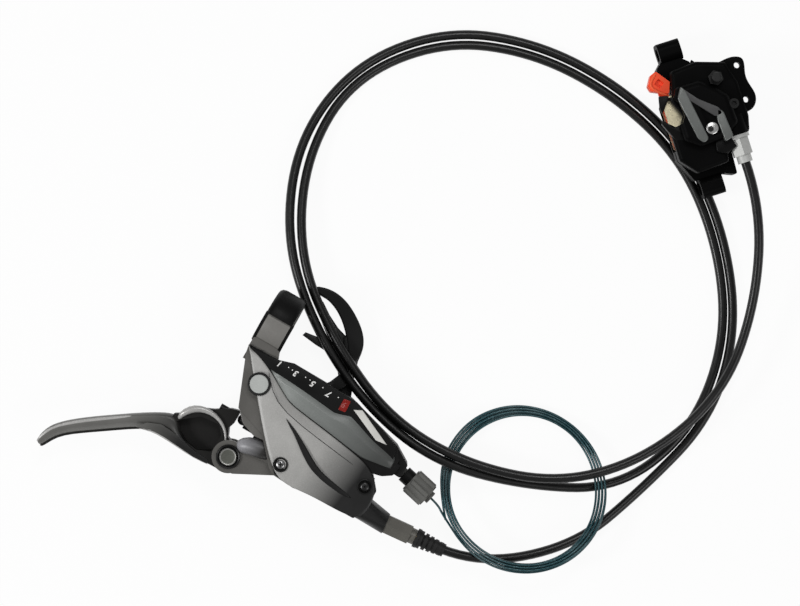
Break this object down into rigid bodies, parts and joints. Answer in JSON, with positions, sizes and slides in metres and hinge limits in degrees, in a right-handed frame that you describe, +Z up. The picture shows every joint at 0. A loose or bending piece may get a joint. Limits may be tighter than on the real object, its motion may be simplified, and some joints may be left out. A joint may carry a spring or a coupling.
{
  "type": "hydraulic disc brake",
  "caption": "Hydraulic disc brake with combined brake and shift lever unit, coiled hose, post-mount caliper with pad spacer and a coil of shift cable.",
  "frame": {"origin": "centre of the handlebar clamp's bore", "axes": "+X outboard along the handlebar, +Y forward, +Z up; the set lies on a surface 26 mm below the bore's centre"},
  "size_m": [0.3021, 0.3593, 0.0453],
  "materials": {
    "body_paint": "satin dark grey paint on cast aluminium",
    "cover_paint": "satin mid grey paint",
    "lever_paint": "satin dark grey paint on forged aluminium",
    "caliper_paint": "gloss black paint",
    "black_steel": "blackened steel",
    "dark_plastic": "satin",
    "seal_rubber": "matte",
    "boot_rubber": "matte",
    "hose_sheath": "semi-gloss hose sheath",
    "brass": "bright",
    "steel": "bright",
    "nut_silver": "satin",
    "nut_grey": "satin grey",
    "plate_gold": "yellow passivated",
    "lining": "pressed resin",
    "piston_resin": "satin",
    "aluminium": "satin",
    "housing_black": "fine texture",
    "cover_gloss": "gloss",
    "scale_black": "printed scale",
    "needle_red": "gloss",
    "white_plastic": "satin",
    "lever_black": "satin",
    "knob_grey": "satin",
    "cable_teal": "coated steel cable",
    "spacer_red": "moulded"
  },
  "bodies": {
    "unit": {"adjuster_spring": "housing_black", "axle_nut": "steel", "bleed_cap": "boot_rubber", "bleed_nipple": "steel", "bleed_screw": "dark_plastic", "bleed_screw_seal": "seal_rubber", "body_bolts": "black_steel", "bottom_cover": "housing_black", "bracket": "body_paint", "brake_hose": "hose_sheath", "caliper_body_inner": "caliper_paint", "caliper_body_outer": "caliper_paint", "caliper_hose_nut": "nut_silver", "clamp_bolt": "black_steel", "connector_insert": "brass", "cover_screws": "black_steel", "drum_cable": "cable_teal", "drum_spring": "steel", "dust_boot": "seal_rubber", "gear_scale": "scale_black", "hose_boot": "boot_rubber", "indicator_cover": "cover_gloss", "lever_hose_nut": "nut_grey", "master_spring": "steel", "olive": "brass", "pad_axle": "steel", "pad_spacer": "spacer_red", "pad_spring": "steel", "pawl_pin": "steel", "piston_seals": "seal_rubber", "pivot_bolt": "black_steel", "ratchet_axle": "black_steel", "release_pin": "steel", "reservoir_cover": "cover_paint", "reservoir_diaphragm": "seal_rubber", "retaining_ring": "steel", "shift_cable_coil": "cable_teal", "shift_cable_lead": "cable_teal", "shift_housing": "housing_black"},
    "brake_lever": {"brake_lever_blade": "lever_paint", "pivot_bush": "brass", "reach_screw": "black_steel"},
    "master_piston_set": {"push_rod": "steel", "master_piston": "aluminium", "primary_cup": "seal_rubber", "secondary_cup": "seal_rubber"},
    "drum": {"cable_drum": "white_plastic", "index_wheel": "steel", "cable_nipple": "steel"},
    "needle": {"gear_needle": "needle_red"},
    "shift_main": {"main_lever": "housing_black"},
    "shift_release": {"release_lever": "lever_black"},
    "pawl": {"hold_pawl": "steel"},
    "adjuster": {"barrel_adjuster": "knob_grey"},
    "outer_pad": {"outer_piston": "piston_resin", "outer_pad_plate": "plate_gold", "outer_pad_lining": "lining"},
    "inner_pad": {"inner_piston": "piston_resin", "inner_pad_plate": "plate_gold", "inner_pad_lining": "lining"}
  },
  "joints": [
    {"name": "brake_lever_pivot", "type": "hinge", "parent": "unit", "child": "brake_lever", "pos_m": [-0.0121, 0.0735, -0.008], "axis": [0, 0, -1], "range_deg": [0, 25], "stiffness_Nm_per_rad": 0.25, "springref_deg": -5.73},
    {"name": "master_piston_slide", "type": "slide", "parent": "unit", "child": "master_piston_set", "axis": [-1, 0, 0], "range_m": [0, 0.0089], "deforming": ["master_spring"]},
    {"name": "outer_pad_slide", "type": "slide", "parent": "unit", "child": "outer_pad", "axis": [0, 0, -1], "range_m": [0, 0.0004]},
    {"name": "inner_pad_slide", "type": "slide", "parent": "unit", "child": "inner_pad", "axis": [0, 0, 1], "range_m": [0, 0.0004]},
    {"name": "main_lever_pivot", "type": "hinge", "parent": "unit", "child": "shift_main", "pos_m": [-0.05, 0.0254, -0.02], "axis": [0, 0, 1], "range_deg": [0, 35], "stiffness_Nm_per_rad": 0.1, "springref_deg": -5.73},
    {"name": "release_lever_pivot", "type": "hinge", "parent": "unit", "child": "shift_release", "pos_m": [-0.0337, 0.022, -0.0164], "axis": [0, 0, 1], "range_deg": [0, 12], "stiffness_Nm_per_rad": 0.05, "springref_deg": -5.73},
    {"name": "hold_pawl_pivot", "type": "hinge", "parent": "unit", "child": "pawl", "pos_m": [-0.0634, 0.0304, -0.0154], "axis": [0, 0, -1], "range_deg": [0, 8.5]},
    {"name": "cable_drum_spin", "type": "hinge", "parent": "unit", "child": "drum", "pos_m": [-0.05, 0.0254, -0.011], "axis": [0, 0, -1], "range_deg": [0, 80]},
    {"name": "needle_slide", "type": "slide", "parent": "unit", "child": "needle", "axis": [1, 0, 0], "range_m": [0, 0.0395]},
    {"name": "barrel_adjuster_turn", "type": "hinge", "parent": "unit", "child": "adjuster", "pos_m": [-0.0966, 0.0357, -0.011], "axis": [-0.9751, 0.2215, 0], "continuous": true}
  ],
  "couplings": [
    {"joint": "master_piston_slide", "follows": "brake_lever_pivot", "m_per_rad": 0.0201},
    {"joint": "outer_pad_slide", "follows": "brake_lever_pivot", "m_per_rad": 0.000894},
    {"joint": "inner_pad_slide", "follows": "brake_lever_pivot", "m_per_rad": 0.000894},
    {"joint": "hold_pawl_pivot", "follows": "release_lever_pivot", "ratio": 0.7},
    {"joint": "needle_slide", "follows": "cable_drum_spin", "m_per_rad": 0.027932}
  ]
}
